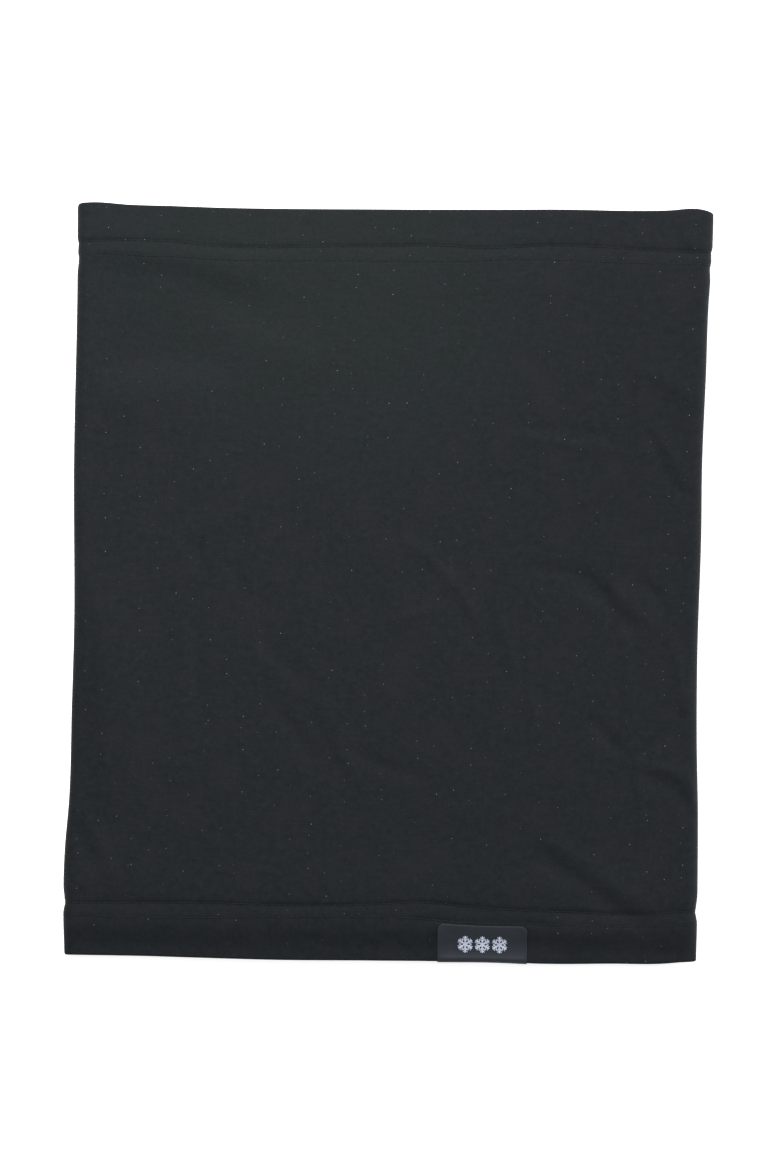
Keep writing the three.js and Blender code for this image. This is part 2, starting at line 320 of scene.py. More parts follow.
def creaseRise(x, y, crease):
    path = smoothPath(crease["points"])
    width, rise, roll = crease["width"], crease.get("rise", 0), crease.get("roll", 0)
    reach = (shelfFeltTo if "shelf" in crease else foldFeltTo) * width
    near = ((x > path[:, 0].min() - reach) & (x < path[:, 0].max() + reach)
            & (y > path[:, 1].min() - reach) & (y < path[:, 1].max() + reach))
    height = np.zeros_like(x)
    if not near.any():
        return height
    way = np.gradient(path, axis=0)
    way /= np.hypot(*way.T)[:, None]
    dx = x[near][:, None] - path[:, 0]
    dy = y[near][:, None] - path[:, 1]
    nearest = np.argmin(dx * dx + dy * dy, axis=1)
    row = np.arange(len(nearest))
    off = dy[row, nearest] * way[nearest, 0] - dx[row, nearest] * way[nearest, 1]
    along = nearest / (len(path) - 1)
    fade = ease(np.minimum(along, 1 - along) / crease.get("fade", usualFade))
    crest = crestAside * width * np.sign(rise)
    fold = rise * bell(off - crest, width) + roll * (off / width) * bell(off, width) * 2
    fold += crease.get("shelf", 0) * np.tanh(off / width) * bell(off, 3.2 * width)
    height[near] = fade * fold
    return height


def frontHeight(x, y):
    hemFrom, hemOver = rawEdgeY - 26, 30          # the body climbs to the hem's height along here
    droopFrom, lipFrom = rawEdgeY - 8, halfLength - 3.2
    edgeFrom, edgeOver = outerRowY + 2, gaiter["outerRow"] - 5
    toHem = ease((np.abs(y) - hemFrom) / hemOver)
    height = gaiter["bodyHeight"] + (gaiter["hemHeight"] - gaiter["bodyHeight"]) * toHem
    for rise, across, along, start in slowWaves:
        wave = np.sin(2 * math.pi * (x / across + y / along) + start)
        height = height + rise * wave * (1 - 0.6 * toHem)
    atMouth = ease((np.abs(y) - outerRowY) / gaiter["outerRow"])
    for rise, across, start in mouthWaves:
        height = height + rise * atMouth * np.sin(2 * math.pi * x / across + start + np.sign(y))
    for crease in creases.values():
        height = height + creaseRise(x, y, crease)
    sinking = gaiter["hemDroop"] * ease((-y - droopFrom) / (halfLength - droopFrom))
    sinking = sinking + gaiter["edgeDroop"] * ease((-y - edgeFrom) / edgeOver)
    offLabel = ease((np.abs(x - labelMiddle) - 14) / 10)
    lip = gaiter["lipRise"] * ease((-y - lipFrom) / 1.6) * (0.65 + 0.35 * np.sin(x / 19 + 1))
    return height - sinking + lip * offLabel


def backHeight(x, y):
    wave = np.sin(x / 23 + 1.3 * np.sin(y / 41)) * np.sin(y / 29 + 0.8 * np.sin(x / 37))
    inBody = 1 - ease((np.abs(y) - 100) / 25)
    lift = gaiter["hemLift"] * (1 - inBody) + gaiter["seamLift"] * bell(x, 6)
    return gaiter["backWave"] * (1 + wave) * inBody + lift


def restingHeight(x, back):
    # the lowest the front may lie: on the back, or at the label on its leg inside the hem
    onLeg = 1 - ease((np.abs(x - labelMiddle) - 19) / 9)
    return back + 2 * stack + gaiter["legRoom"] * onLeg


def noLowerThan(lowest, height, softness=0.02):
    # meets the lowest in a soft bend
    spare = height - lowest
    return lowest + (spare + np.sqrt(spare * spare + softness)) / 2


def strayAlong(across, y):
    # how far a point at y strays along the tube, from the rows and edges on each side of it
    levels = [(-halfLength, lowEdgeStray), (-outerRowY, lowOuterStray), (-innerRowY, lowInnerStray),
              (-strayFrom, None), (strayFrom, None),
              (innerRowY, topInnerStray), (outerRowY, topOuterStray), (halfLength, topEdgeStray)]
    total = np.zeros_like(y)
    edge = np.clip(y, -halfLength, halfLength)
    for (low, lowCurve), (high, highCurve) in zip(levels, levels[1:]):
        inside = (edge >= low) & (edge <= high)
        t = (edge - low) / (high - low)
        lowShift = lowCurve(across) if lowCurve else 0
        highShift = highCurve(across) if highCurve else 0
        total = np.where(inside, lowShift * (1 - t) + highShift * t, total)
    return total


def layInPlace(pattern, squeezed=True):
    a, y, depth = pattern[:, 0], pattern[:, 1], -pattern[:, 2]
    if squeezed:
        # the stitches draw the cloth in: steeply above each leading row, gently below it
        pinch = np.zeros_like(y)
        deep, shallow = gaiter["rowPinch"]
        steep, gentle = gaiter["rowPinchWidth"]
        rows = ((outerRowY, deep), (innerRowY, shallow), (-innerRowY, deep), (-outerRowY, shallow))
        for rowY, draw in rows:
            uneven = 1 + 0.25 * np.sin(a / 9 + rowY) + 0.15 * np.sin(a / 3.7)
            width = np.where((y < rowY) & (draw == deep), gentle, steep)
            pinch += draw * uneven * bell(y - rowY, width)
        depth = depth + pinch * (1 - 2 * np.clip(depth, 0, stack) / stack)
    side = np.where(a < 0, -1.0, 1.0)
    reach = np.abs(a)
    turn = np.clip((reach - frontHalf) / foldArc, 0, 1) * math.pi
    overBack = np.maximum(reach - frontHalf - foldArc, 0)
    roundFold = (gaiter["foldReach"] - depth) * np.sin(turn)
    across = side * (np.minimum(reach, frontHalf) + roundFold - overBack)
    lift = (1 + np.cos(turn)) / 2
    upperShare = (halfLength + y) / (2 * halfLength)
    inset = gaiter["lowerInset"] * (1 - upperShare) - gaiter["upperInset"] * upperShare
    strayShare = gaiter["backStray"] + (1 - gaiter["backStray"]) * lift
    upright = y + inset * lift + strayAlong(across, y) * strayShare
    atSide = np.abs(across / gaiter["halfWidth"]) ** 12
    notch = gaiter["sideNotch"] * bell(np.abs(y) - innerRowY + 1.5, 3.0) * atSide
    spread = (across / gaiter["halfWidth"] + 1) / 2
    sideways = across - side * notch + leftStray(y) * (1 - spread) + rightStray(y) * spread
    front, back = frontHeight(sideways, upright), backHeight(sideways, upright)
    front = noLowerThan(restingHeight(sideways, back), front)
    high = back + depth + (front - back - 2 * depth) * lift
    return np.column_stack([sideways, upright, high])


def layPiece(piece, squeezed=True):
    setPlaces(piece, layInPlace(places(piece), squeezed))


def keepPatternMap(piece):
    # the cut pattern's own places in metres, for what follows the cloth
    pattern = places(piece) * mm
    layer = piece.data.uv_layers.get("pattern") or piece.data.uv_layers.new(name="pattern")
    corners = np.empty(len(piece.data.loops), dtype=np.int64)
    piece.data.loops.foreach_get("vertex_index", corners)
    layer.data.foreach_set("uv", pattern[corners][:, :2].astype(np.float32).ravel())
    for other in [one for one in piece.data.uv_layers if one.name != "pattern"]:
        piece.data.uv_layers.remove(other)


def srgb(hexColour):
    parts = [int(hexColour[i:i + 2], 16) / 255 for i in (1, 3, 5)]
    linear = [c / 12.92 if c <= 0.04045 else ((c + 0.055) / 1.055) ** 2.4 for c in parts]
    return (*linear, 1.0)


def newMaterial(name):
    material = bpy.data.materials.new(name)
    material.use_nodes = True
    material.node_tree.nodes.clear()
    return material, material.node_tree


def add(tree, kind, inputs=None, **settings):
    node = tree.nodes.new(kind)
    for name, value in settings.items():
        setattr(node, name, value)
    for socket, value in (inputs or {}).items():
        if isinstance(value, bpy.types.NodeSocket):
            tree.links.new(value, node.inputs[socket])
        else:
            node.inputs[socket].default_value = value
    return node


def bandScale(period):
    # a band wave's Scale for a period in millimetres: one wave is a tenth of pi at Scale 1
    return math.pi / 10 / (period * mm)


def grainScale(size):
    return 1 / (size * mm)


def ramp(tree, value, stops):
    node = add(tree, "ShaderNodeValToRGB", {0: value})
    node.color_ramp.elements[0].position = stops[0][0]
    node.color_ramp.elements[0].color = stops[0][1]
    node.color_ramp.elements[1].position = stops[-1][0]
    node.color_ramp.elements[1].color = stops[-1][1]
    for place, colour in stops[1:-1]:
        node.color_ramp.elements.new(place).color = colour
    return node.outputs["Color"]


jersey = {
    "colour": "#151a1d",
    "shadeColour": "#0f1417",
    "warmPatch": "#17181d",
    # painted light: the next colour is the lighter, greener pool high above the middle
    "paintedGreenLight": "#171e1a",
    "lint": "#808286",
    "wale": 1.35,             # mm; a real wale is about 0.5, drawn coarser so that it shows
    "course": 1.1,
    "nap": 1.3,               # sizes of the tufts, the mottle of the dye, the slow rumples
    "mottle": 3,
    "rumple": 14,
    "courseDrift": 2.2,       # how long the courses stay one shade, and the dye one hue
    "hue": 11,
    # how strongly that painted pool of light shows
    "paintedLightShare": 0.6,
    "paintedShadeDepth": 0.84,         # how dark a painted shade makes the cloth on the right, above the middle
    "lintCell": 7.0,          # one speck at most in each
    "lintRadius": 0.2,
}


def jerseyDyeAndPaintedLight(tree, pattern, body):
    # the dye is mottled and warmer in patches; a painted pool of light high above the middle makes it a
    # little greener and lighter
    mottle = add(tree, "ShaderNodeTexNoise", {"Vector": pattern, "Scale": grainScale(jersey["mottle"]),
                 "Detail": 4.0})
    hue = add(tree, "ShaderNodeTexNoise", {"Vector": body, "Scale": grainScale(jersey["hue"]),
              "Detail": 3.0})
    dye = ramp(tree, mottle.outputs["Fac"], [(0.3, srgb(jersey["shadeColour"])),
                                             (0.7, srgb(jersey["colour"]))])
    warm = add(tree, "ShaderNodeMapRange", {"Value": hue.outputs["Fac"], "From Min": 0.45,
               "From Max": 0.75})
    patchy = add(tree, "ShaderNodeMix", {0: warm.outputs[0], 6: dye, 7: srgb(jersey["warmPatch"])},
                 data_type="RGBA")
    # painted light: a round pool, lighter and greener, centred high above the middle
    lightPoolMap = add(tree, "ShaderNodeMapping", {"Vector": body, "Location": (0.25, -1.25, 0),
               "Scale": (8.5, 9.5, 0)})
    lightPoolRound = add(tree, "ShaderNodeTexGradient", {"Vector": lightPoolMap.outputs["Vector"]},
                    gradient_type="SPHERICAL")
    lightPoolShare = add(tree, "ShaderNodeMath", {0: lightPoolRound.outputs["Fac"], 1: jersey["paintedLightShare"]},
                    operation="MULTIPLY")
    dyed = add(tree, "ShaderNodeMix", {0: lightPoolShare.outputs[0], 6: patchy.outputs[2],
               7: srgb(jersey["paintedGreenLight"])}, data_type="RGBA")
    return dyed.outputs[2]


def jerseyTone(tree, pattern, body, knit, nap):
    # lighter and darker: the yarn's loops, the nap's tufts, courses that drift, and a painted
    # shade that darkens the cloth on the right, above the middle
    stretched = add(tree, "ShaderNodeMapping", {"Vector": pattern, "Scale": (0.3, 1, 1)})
    courseDrift = add(tree, "ShaderNodeTexNoise", {"Vector": stretched.outputs["Vector"],
                      "Scale": grainScale(jersey["courseDrift"]), "Detail": 2.0})
    # painted shade: the cloth darkens round a place right of and above the middle
    paintedShadeMap = add(tree, "ShaderNodeMapping", {"Vector": body, "Location": (-1.05, -0.45, 0),
                   "Scale": (9, 7, 0)})
    paintedShadeRound = add(tree, "ShaderNodeTexGradient", {"Vector": paintedShadeMap.outputs["Vector"]},
                    gradient_type="SPHERICAL")
    yarn = add(tree, "ShaderNodeMapRange", {"Value": knit, "From Min": 0, "From Max": 2,
               "To Min": 0.98, "To Max": 1.02})
    fuzz = add(tree, "ShaderNodeMapRange", {"Value": nap, "From Min": 0.25, "From Max": 0.75,
               "To Min": 0.8, "To Max": 1.2})
    drift = add(tree, "ShaderNodeMapRange", {"Value": courseDrift.outputs["Fac"], "From Min": 0.3,
                "From Max": 0.7, "To Min": 0.94, "To Max": 1.06})
    paintedShadeMix = add(tree, "ShaderNodeMapRange", {"Value": paintedShadeRound.outputs["Fac"], "To Min": 1.0,
                    "To Max": jersey["paintedShadeDepth"]})
    tone = yarn.outputs[0]
    for shade in (fuzz, drift, paintedShadeMix):
        tone = add(tree, "ShaderNodeMath", {0: tone, 1: shade.outputs[0]},
                   operation="MULTIPLY").outputs[0]
    return tone


def lintSpecks(tree, pattern):
    # a small round speck in some cells, most of them faint
    cells = add(tree, "ShaderNodeTexVoronoi", {"Vector": pattern,
                "Scale": grainScale(jersey["lintCell"])}, voronoi_dimensions="2D")
    radius = jersey["lintRadius"] / jersey["lintCell"]
    speck = add(tree, "ShaderNodeMapRange", {"Value": cells.outputs["Distance"], "From Min": radius,
                "From Max": 0.4 * radius, "To Min": 0, "To Max": 1})
    chance = add(tree, "ShaderNodeSeparateColor", {0: cells.outputs["Color"]})
    bright = add(tree, "ShaderNodeMath", {0: chance.outputs[0], 1: 5.0}, operation="POWER")
    lint = add(tree, "ShaderNodeMath", {0: speck.outputs[0], 1: bright.outputs[0]},
               operation="MULTIPLY")
    return lint.outputs[0]


def jerseyMaterial():
    # Brushed polyester interlock jersey, piece-dyed black: matt, with a faint soft sheen at
    # glancing angles, upright wales and a few specks of lint.
    material, tree = newMaterial("brushedPolyesterJersey")
    pattern = add(tree, "ShaderNodeUVMap", uv_map="pattern").outputs["UV"]
    body = add(tree, "ShaderNodeTexCoord").outputs["Object"]
    wale = add(tree, "ShaderNodeTexWave", {"Vector": pattern, "Scale": bandScale(jersey["wale"]),
               "Distortion": 0.6, "Detail": 1.0}, wave_type="BANDS", bands_direction="X")
    course = add(tree, "ShaderNodeTexWave", {"Vector": pattern, "Scale": bandScale(jersey["course"]),
                 "Distortion": 0.8, "Detail": 1.0}, wave_type="BANDS", bands_direction="Y")
    knit = add(tree, "ShaderNodeMath", {0: wale.outputs["Fac"], 1: course.outputs["Fac"]},
               operation="ADD")
    nap = add(tree, "ShaderNodeTexNoise", {"Vector": pattern, "Scale": grainScale(jersey["nap"]),
              "Detail": 3.0})
    rumple = add(tree, "ShaderNodeTexNoise", {"Vector": body, "Scale": grainScale(jersey["rumple"]),
                 "Detail": 4.0})

    # the dye's colour, with the painted pool of light in it
    dyed = jerseyDyeAndPaintedLight(tree, pattern, body)
    tone = jerseyTone(tree, pattern, body, knit.outputs[0], nap.outputs["Fac"])
    knittedWithPaintedLight = add(tree, "ShaderNodeVectorMath", {0: dyed, 3: tone}, operation="SCALE")
    colour = add(tree, "ShaderNodeMix", {0: lintSpecks(tree, pattern), 6: knittedWithPaintedLight.outputs[0],
                 7: srgb(jersey["lint"])}, data_type="RGBA")

    rumpled = add(tree, "ShaderNodeBump", {"Height": rumple.outputs["Fac"], "Strength": 0.4,
                  "Distance": 0.6 * mm})
    napped = add(tree, "ShaderNodeBump", {"Height": nap.outputs["Fac"], "Strength": 0.25,
                 "Distance": 0.12 * mm, "Normal": rumpled.outputs[0]})
    loops = add(tree, "ShaderNodeBump", {"Height": knit.outputs[0], "Strength": 0.14,
                "Distance": 0.08 * mm, "Normal": napped.outputs[0]})
    shader = add(tree, "ShaderNodeBsdfPrincipled", {
        "Base Color": colour.outputs[2], "Roughness": 0.82, "Specular IOR Level": 0.16,
        "Sheen Weight": 0.035, "Sheen Roughness": 0.45, "Normal": loops.outputs[0]})
    add(tree, "ShaderNodeOutputMaterial", {"Surface": shader.outputs[0]})
    return material


threadLook = {
    # painted shade: the next colour darkens the twist's grooves
    "paintedGrooveShade": "#0c0f12",
    "ply": "#1e2326",
    "twist": 0.7,             # mm
}


def threadMaterial():
    # Textured polyester overlock thread, spun and dyed black: a little glossier than the jersey,
    # with a slanting two-ply twist, drawn coarser than real, and painted shade darkening its grooves.
    material, tree = newMaterial("spunPolyesterThread")
    body = add(tree, "ShaderNodeTexCoord").outputs["Object"]
    slant = add(tree, "ShaderNodeMapping", {"Vector": body, "Rotation": (0, 0, math.radians(35))})
    twist = add(tree, "ShaderNodeTexWave", {"Vector": slant.outputs["Vector"],
                "Scale": bandScale(threadLook["twist"]), "Distortion": 0.5},
                wave_type="BANDS", bands_direction="X")
    # painted shade: the twist's grooves are coloured darker than its plies
    colour = ramp(tree, twist.outputs["Fac"], [(0.2, srgb(threadLook["paintedGrooveShade"])),
                                               (0.8, srgb(threadLook["ply"]))])
    ply = add(tree, "ShaderNodeBump", {"Height": twist.outputs["Fac"], "Strength": 0.5,
              "Distance": 0.08 * mm})
    shader = add(tree, "ShaderNodeBsdfPrincipled", {
        "Base Color": colour, "Roughness": 0.7, "Specular IOR Level": 0.18, "Normal": ply.outputs[0]})
    add(tree, "ShaderNodeOutputMaterial", {"Surface": shader.outputs[0]})
    return material


rubberLooks = {
    "mouldedLabelRubber": {"dark": "#1a1f26", "light": "#1f242b", "roughness": 0.5, "gloss": 0.32},
    "mouldedMotifRubber": {"dark": "#a5adbc", "light": "#adb5c4", "roughness": 0.55, "gloss": 0.4},
}


def rubberMaterial(name):
    # Injection-moulded soft rubber: one even colour with faint flow mottling and the fine
    # satin grain of an etched mould.
    look = rubberLooks[name]
    material, tree = newMaterial(name)
    body = add(tree, "ShaderNodeTexCoord").outputs["Object"]
    flow = add(tree, "ShaderNodeTexNoise", {"Vector": body, "Scale": grainScale(6), "Detail": 3.0})
    grain = add(tree, "ShaderNodeTexNoise", {"Vector": body, "Scale": grainScale(0.5), "Detail": 2.0})
    colour = ramp(tree, flow.outputs["Fac"], [(0.3, srgb(look["dark"])), (0.7, srgb(look["light"]))])
    satin = add(tree, "ShaderNodeMapRange", {"Value": grain.outputs["Fac"],
                "To Min": look["roughness"] - 0.06, "To Max": look["roughness"] + 0.06})
    etched = add(tree, "ShaderNodeBump", {"Height": grain.outputs["Fac"], "Strength": 0.25,
                 "Distance": 0.05 * mm})
    shader = add(tree, "ShaderNodeBsdfPrincipled", {
        "Base Color": colour, "Roughness": satin.outputs[0], "Specular IOR Level": look["gloss"],
        "Normal": etched.outputs[0]})
    add(tree, "ShaderNodeOutputMaterial", {"Surface": shader.outputs[0]})
    return material


jerseyCloth = jerseyMaterial()
sewingThread = threadMaterial()
labelRubber = rubberMaterial("mouldedLabelRubber")
motifRubber = rubberMaterial("mouldedMotifRubber")
print("materials ready")


# How finely the cloth panel is cut up, and where.
panel = {
    "frontColumns": 172,
    "foldSteps": 8,
    "backSteps": 16,
    "seamZone": 8.0,          # finer steps this close to the back seam
    "seamSteps": 4,
    "bodyRows": 142,
    "turnSteps": 8,
    "rowSteps": (-1.6, -0.7, 0, 0.7, 1.6),      # rows of faces round each needle row
    "edgeRows": (3, 6, 9, 11),        # and towards the folded edge, in both of a hem's layers, so
                                      # that they bend together
}


def makeCloth():
    deselectAll()
    bodyEdge = rawEdgeY - 1.5
    bpy.ops.mesh.primitive_grid_add(x_subdivisions=panel["frontColumns"],
                                    y_subdivisions=panel["bodyRows"], size=1)
    cloth = bpy.context.object
    cloth.name = "jersey_tube"
    cloth.scale = (2 * frontHalf * mm, 2 * bodyEdge * mm, 1)
    bpy.ops.object.transform_apply(location=True, rotation=True, scale=True)

    # the front panel's sides go on round the folds and over the back to the seam
    backWidth = frontHalf - gaiter["seamOpening"] / 2
    steps = [foldArc / panel["foldSteps"]] * panel["foldSteps"]
    steps += [(backWidth - panel["seamZone"]) / panel["backSteps"]] * panel["backSteps"]
    steps += [panel["seamZone"] / panel["seamSteps"]] * panel["seamSteps"]
    editMode(cloth, "EDGE")
    for side in (-1, 1):
        selectVerts(cloth, lambda p: side * p.x > frontHalf - 0.01)
        for step in steps:
            extrudeBy(x=side * step)

    # each end: flat to the fold, a half turn, and back down to the raw edge
    turnRadius = stack / 2
    rows = [row + step for row in (gaiter["outerRow"], gaiter["outerRow"] + gaiter["needleGauge"])
            for step in panel["rowSteps"]]
    perRow = len(panel["rowSteps"])
    betweenRows = gaiter["outerRow"] + gaiter["needleGauge"] / 2
    outward = sorted([*rows, halfLength - rawEdgeY, *panel["edgeRows"]], reverse=True) + [turnRadius]
    inward = [*panel["edgeRows"], *rows[:perRow:2], betweenRows, *rows[perRow::2], halfLength - rawEdgeY]
    for end in (-1, 1):
        selectVerts(cloth, lambda p: end * p.y > bodyEdge - 0.01)
        at = bodyEdge
        for stop in outward:
            extrudeBy(y=end * (halfLength - stop - at))
            at = halfLength - stop
        bpy.ops.mesh.spin(steps=panel["turnSteps"], angle=-end * math.pi, axis=(-1, 0, 0),
                          center=(0, end * (halfLength - turnRadius) * mm, -turnRadius * mm))
        for stop in inward:
            extrudeBy(y=end * (halfLength - stop - at))
            at = halfLength - stop
    mergeAndTurnOut(cloth)
    middle = min(cloth.data.polygons, key=lambda face: face.center.length)
    if middle.normal.z < 0:
        editMode(cloth, "FACE")
        bpy.ops.mesh.select_all(action="SELECT")
        bpy.ops.mesh.flip_normals()
        bpy.ops.object.mode_set(mode="OBJECT")
    applyModifier(cloth, "SOLIDIFY", thickness=gaiter["cloth"] * mm, offset=-1)
    keepPatternMap(cloth)
    layPiece(cloth)
    smoothShade(cloth, 60)
    finished(cloth, ["body_cloth"], jerseyCloth)
    return cloth


cloth = makeCloth()
print("cloth laid:", len(cloth.data.polygons), "faces")


sewing = {
    "stitch": 2.45,           # pitch along a needle row
    "needleThread": 0.42,     # thickness
    "looperThread": 0.32,
    "seamGauge": 6.0,
    "seamPitch": 2.6,
    "seamEnd": 0.9,           # the seam's threads stop this short of the folded edges
    "filled": 0.97,           # of the pitch, by each stitch
    "jitter": 0.06,
}


def makeStitch(name, length, thickness, dip=0.0):
    # one bead of thread lying along X, its ends drawn down into the cloth
    deselectAll()
    bpy.ops.mesh.primitive_uv_sphere_add(segments=8, ring_count=6, radius=0.5,
                                         rotation=(0, math.pi / 2, 0))
    stitch = bpy.context.object
    stitch.name = name
    bpy.ops.object.transform_apply(location=True, rotation=True, scale=True)
    stitch.scale = (length * mm, thickness * mm, 0.85 * thickness * mm)
    bpy.ops.object.transform_apply(location=True, rotation=True, scale=True)
    if dip:
        editMode(stitch)
        for share in (0.3, 0.45):
            selectVerts(stitch, lambda p: abs(p.x) > share * length)
            bpy.ops.transform.translate(value=(0, 0, -dip / 2 * mm))
        bpy.ops.object.mode_set(mode="OBJECT")
    return stitch


def repeatStitch(stitch, count, step, seed):
    # copies along step, then each a touch out of line
    perStitch = len(stitch.data.vertices)
    applyModifier(stitch, "ARRAY", count=count, use_relative_offset=False, use_constant_offset=True,
                  constant_offset_displace=Vector(step) * mm)
    rng = np.random.default_rng(seed)
    shift = rng.normal(0, sewing["jitter"], (count, 3)) * (1, 1, 0.35)
    setPlaces(stitch, places(stitch) + np.repeat(shift, perStitch, axis=0))


def moveTo(stitch, x=0.0, y=0.0, z=0.0, turn=0.0):
    # turns about Z and places, in the mesh
    stitch.location = Vector((x, y, z)) * mm
    stitch.rotation_euler = (0, 0, turn)
    deselectAll()
    stitch.select_set(True)
    bpy.context.view_layer.objects.active = stitch
    bpy.ops.object.transform_apply(location=True, rotation=True, scale=True)


def joinPieces(pieces, name):
    deselectAll()
    for piece in pieces:
        piece.select_set(True)
    bpy.context.view_layer.objects.active = pieces[0]
    bpy.ops.object.join()
    pieces[0].name = name
    return pieces[0]


def finishThread(thread, nodeName):
    layPiece(thread)
    smoothShade(thread, 80)
    finished(thread, [nodeName], sewingThread)
    return thread


def needleRow(nodeName, rowY, seed):
    count = round(2 * halfGirth / sewing["stitch"])
    pitch = 2 * halfGirth / count
    row = makeStitch(nodeName + "_stitches", sewing["filled"] * pitch, sewing["needleThread"], dip=0.22)
    moveTo(row, x=-halfGirth + pitch / 2, y=rowY, z=0.06)
    repeatStitch(row, count, (pitch, 0, 0), seed)
    return finishThread(row, nodeName)


def hemLooper(nodeName, end, seed):
    # on the inside of a hem the looper thread crosses to and fro between the two needle rows
    count = round(halfGirth / sewing["stitch"])
    pitch = 2 * halfGirth / count
    width = gaiter["needleGauge"]
    length = math.hypot(width, pitch / 2) + 0.3
    middleY = end * (outerRowY + innerRowY) / 2
    legs = []
    for k, lean in enumerate((1, -1)):
        leg = makeStitch(f"{nodeName}_leg{k}", length, sewing["looperThread"])
        moveTo(leg, x=-halfGirth + pitch * (1 + 2 * k) / 4, y=middleY,
               z=-(stack + 0.3 * sewing["looperThread"]), turn=lean * math.atan2(width, pitch / 2))
        repeatStitch(leg, count, (pitch, 0, 0), seed + k)
        legs.append(leg)
    return finishThread(joinPieces(legs, nodeName + "_zigzag"), nodeName)


def seamRow(nodeName, side, seed):
    # along the back seam, stopping short of the hems' folded edges
    reach = halfLength - sewing["seamEnd"]
    count = round(2 * reach / sewing["seamPitch"])
    pitch = 2 * reach / count
    row = makeStitch(nodeName + "_stitches", sewing["filled"] * pitch, sewing["needleThread"], dip=0.2)
    moveTo(row, x=halfGirth + side * sewing["seamGauge"] / 2, y=-reach + pitch / 2, z=0.02,
           turn=math.pi / 2)
    repeatStitch(row, count, (0, pitch, 0), seed)
    return finishThread(row, nodeName)


def seamZigzag(nodeName, depth, seed):
    reach = halfLength - sewing["seamEnd"]
    count = round(reach / sewing["seamPitch"])
    pitch = 2 * reach / count
    width = sewing["seamGauge"]
    length = math.hypot(width, pitch / 2) + 0.2
    legs = []
    for k, lean in enumerate((1, -1)):
        leg = makeStitch(f"{nodeName}_leg{k}", length, sewing["looperThread"])
        moveTo(leg, x=halfGirth, y=-reach + pitch * (1 + 2 * k) / 4, z=-depth,
               turn=lean * math.atan2(pitch / 2, width))
        repeatStitch(leg, count, (0, pitch, 0), seed + k)
        legs.append(leg)
    return finishThread(joinPieces(legs, nodeName + "_zigzag"), nodeName)


threads = []
for endName, end in (("top", 1), ("bottom", -1)):
    for rowName, rowY in (("outer", outerRowY), ("inner", innerRowY)):
        threads.append(needleRow(f"{endName}_hem_needle_thread_{rowName}", end * rowY, len(threads) + 11))
    threads.append(hemLooper(f"{endName}_hem_looper_thread", end, len(threads) + 31))
threads.append(seamRow("back_seam_needle_thread_right", -1, 51))
threads.append(seamRow("back_seam_needle_thread_left", 1, 52))
threads.append(seamZigzag("back_seam_cover_thread", -0.1, 53))
threads.append(seamZigzag("back_seam_looper_thread", gaiter["cloth"] + 0.1, 55))
print("sewing done:", len(threads), "threads")


label = {
    "centre": labelMiddle + 0.3,
    "width": labelHigh.x - labelLow.x + 0.8,
    "height": 14.0,           # what shows above its fold
    "overhang": 0.4,          # its fold stands this far below the hem's folded edge
    "thickness": 0.6,
    "clear": 0.1,             # from the cloth
    "corner": 2.6,
    "rim": 0.6,
    "rimRise": 0.07,
    "innerLeg": 13.4,
    "motifRise": 6.9,         # snowflakes' middle above the fold
    "motifPitch": 6.75,
    "motifSize": 6.2,
    "arm": 0.66,
    "barb": 0.5,
    "relief": 0.3,
}
labelFace = label["clear"] + label["thickness"]
labelFoldY = -(halfLength + label["overhang"])


def makeLabel():
    deselectAll()
    radius = (stack + 2 * labelFace) / 2
    low = labelFoldY + radius
    high = labelFoldY + label["height"]
    bpy.ops.mesh.primitive_plane_add(size=1)
    tab = bpy.context.object
    tab.name = "rubber_tab_label"
    tab.scale = (label["width"] * mm, (high - low) * mm, 1)
    tab.location = (label["centre"] * mm, (low + high) / 2 * mm, labelFace * mm)
    bpy.ops.object.transform_apply(location=True, rotation=True, scale=True)
    editMode(tab)
    selectVerts(tab, lambda p: p.y > high - 0.01)
    bpy.ops.mesh.bevel(offset=label["corner"] * mm, segments=6, affect="VERTICES")
    # a shallow floor inside a raised rim
    bpy.ops.mesh.select_mode(type="FACE")
    bpy.ops.mesh.select_all(action="SELECT")
    bpy.ops.mesh.inset(thickness=label["rim"] * mm, depth=0)
    bpy.ops.mesh.inset(thickness=0.25 * mm, depth=-label["rimRise"] * mm)
    # round the fold and up inside the hem
    bpy.ops.mesh.select_mode(type="VERT")
    selectVerts(tab, lambda p: p.y < low + 0.01)
    bpy.ops.mesh.spin(steps=10, angle=math.pi, axis=(-1, 0, 0),
                      center=(0, low * mm, (labelFace - radius) * mm))
    extrudeBy(y=label["innerLeg"] - radius)
    # cuts, so that it can follow the hem's waves
    for k in range(1, 9):
        bpy.ops.mesh.select_all(action="SELECT")
        x = label["centre"] + label["width"] * (k / 9 - 0.5)
        bpy.ops.mesh.bisect(plane_co=(x * mm, 0, 0), plane_no=(1, 0, 0))
    for k in range(1, 4):
        bpy.ops.mesh.select_all(action="SELECT")
        bpy.ops.mesh.bisect(plane_co=(0, (low + (high - low) * k / 4) * mm, 0), plane_no=(0, 1, 0))
    mergeAndTurnOut(tab)
    top = max(tab.data.polygons, key=lambda face: face.area * (face.center.z > 0))
    if top.normal.z < 0:
        editMode(tab, "FACE")
        bpy.ops.mesh.select_all(action="SELECT")
        bpy.ops.mesh.flip_normals()
    applyModifier(tab, "SOLIDIFY", thickness=label["thickness"] * mm, offset=-1)
    applyModifier(tab, "BEVEL", width=0.12 * mm, segments=3, limit_method="ANGLE",
                  angle_limit=math.radians(40))
    layPiece(tab, squeezed=False)
    smoothShade(tab, 40)
    finished(tab, ["tab_label"], labelRubber)
    return tab


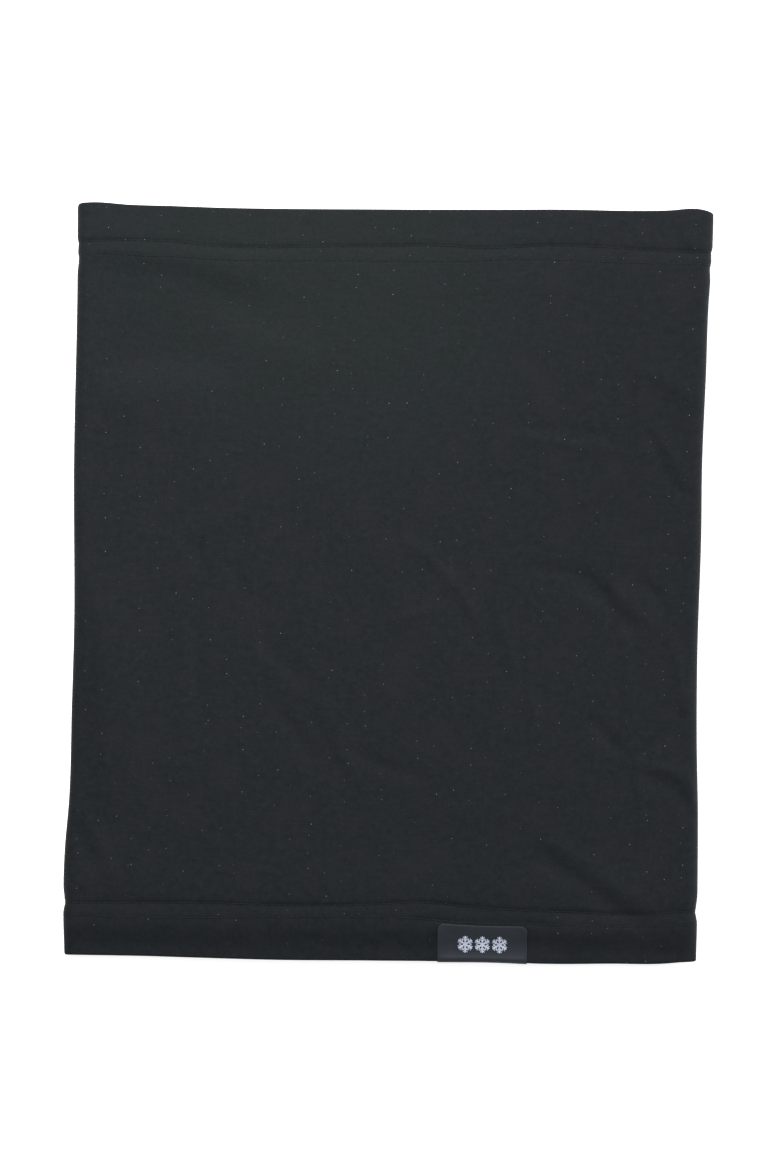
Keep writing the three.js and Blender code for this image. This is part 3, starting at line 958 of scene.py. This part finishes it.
def armOutline():
    # one arm's outline from one notch to the next, pointing up: (across, out)
    size, arm, barb = label["motifSize"] / 2, label["arm"] / 2, label["barb"]
    lean = 0.18 * size
    inner, outer = 0.42 * size, 0.68 * size
    reach = 0.36 * size
    right = [(arm, arm * math.sqrt(3)), (arm, inner), (reach, inner + lean), (reach, inner + lean + barb),
             (arm, inner + barb), (arm, outer), (0.8 * reach, outer + lean),
             (0.8 * reach, outer + lean + 0.8 * barb), (arm, outer + 0.8 * barb), (arm, size)]
    return right[1:] + [(-x, y) for x, y in reversed(right[1:])] + [(-right[0][0], right[0][1])]


def makeSnowflake(number):
    # a disc whose rim is drawn out into six barbed arms, raised and bevelled
    deselectAll()
    arm = armOutline()
    x = label["centre"] + (number - 2) * label["motifPitch"]
    y = labelFoldY + label["motifRise"]
    z = labelFace - label["rimRise"]
    bpy.ops.mesh.primitive_circle_add(vertices=6 * len(arm), radius=mm, fill_type="NGON")
    flake = bpy.context.object
    flake.name = f"snowflake_{number}"
    rim = []
    for k in range(6):
        angle = -k * math.pi / 3
        rim += [(px * math.cos(angle) - py * math.sin(angle), px * math.sin(angle) + py * math.cos(angle))
                for px, py in reversed(arm)]
    setPlaces(flake, np.array([(x + px, y + py, z - 0.05) for px, py in rim]))
    editMode(flake, "FACE")
    bpy.ops.mesh.select_all(action="SELECT")
    extrudeBy(z=label["relief"] + 0.05)
    mergeAndTurnOut(flake)
    applyModifier(flake, "BEVEL", width=0.07 * mm, segments=2, limit_method="ANGLE",
                  angle_limit=math.radians(50))
    layPiece(flake, squeezed=False)
    smoothShade(flake, 40)
    finished(flake, [f"label_snowflake_{number}"], motifRubber)
    return flake


tab = makeLabel()
snowflakes = [makeSnowflake(number) for number in (1, 2, 3)]
print("label and snowflakes done")


studio = {
    "floor": "#f4f4f3",
    "floorSize": 14.0,
    "floorGlow": 0.7,
    "worldStrength": 0.42,
    "lights": {
        "key": {"power": 13.5, "size": (0.6, 0.4), "place": (-0.16, 0.56, 0.76)},
        "side": {"power": 14, "size": (0.5, 0.4), "place": (1.3, 0.3, 0.36)},
    },
}


def addStudio():
    deselectAll()
    bpy.ops.mesh.primitive_plane_add(size=studio["floorSize"], location=(0, 0, -0.1 * mm))
    floor = bpy.context.object
    floor.name = "floor"
    material, tree = newMaterial("paintedTableTop")
    shader = add(tree, "ShaderNodeBsdfPrincipled", {
        "Base Color": srgb(studio["floor"]), "Roughness": 0.8, "Specular IOR Level": 0.2,
        "Emission Color": (1, 1, 1, 1), "Emission Strength": studio["floorGlow"]})
    add(tree, "ShaderNodeOutputMaterial", {"Surface": shader.outputs[0]})
    floor.data.materials.append(material)

    world = bpy.data.worlds.new("studio")
    world.use_nodes = True
    # a white sweep behind, that lights the gaiter less than it shows
    tree = world.node_tree
    tree.nodes.clear()
    lit = add(tree, "ShaderNodeBackground", {"Color": (1, 1, 1, 1), "Strength": studio["worldStrength"]})
    seen = add(tree, "ShaderNodeBackground", {"Color": (1, 1, 1, 1), "Strength": 1.0})
    ray = add(tree, "ShaderNodeLightPath")
    either = add(tree, "ShaderNodeMixShader", {0: ray.outputs["Is Camera Ray"], 1: lit.outputs[0],
                 2: seen.outputs[0]})
    add(tree, "ShaderNodeOutputWorld", {"Surface": either.outputs[0]})
    bpy.context.scene.world = world

    for name, light in studio["lights"].items():
        data = bpy.data.lights.new(name, "AREA")
        data.shape = "RECTANGLE"
        data.size, data.size_y = light["size"]
        data.energy = light["power"]
        lamp = bpy.data.objects.new(name, data)
        lamp.location = light["place"]
        lamp.rotation_euler = (-lamp.location).to_track_quat("-Z", "Y").to_euler()
        bpy.context.scene.collection.objects.link(lamp)
    bpy.context.scene.view_settings.view_transform = "Standard"


addStudio()
print("studio ready")
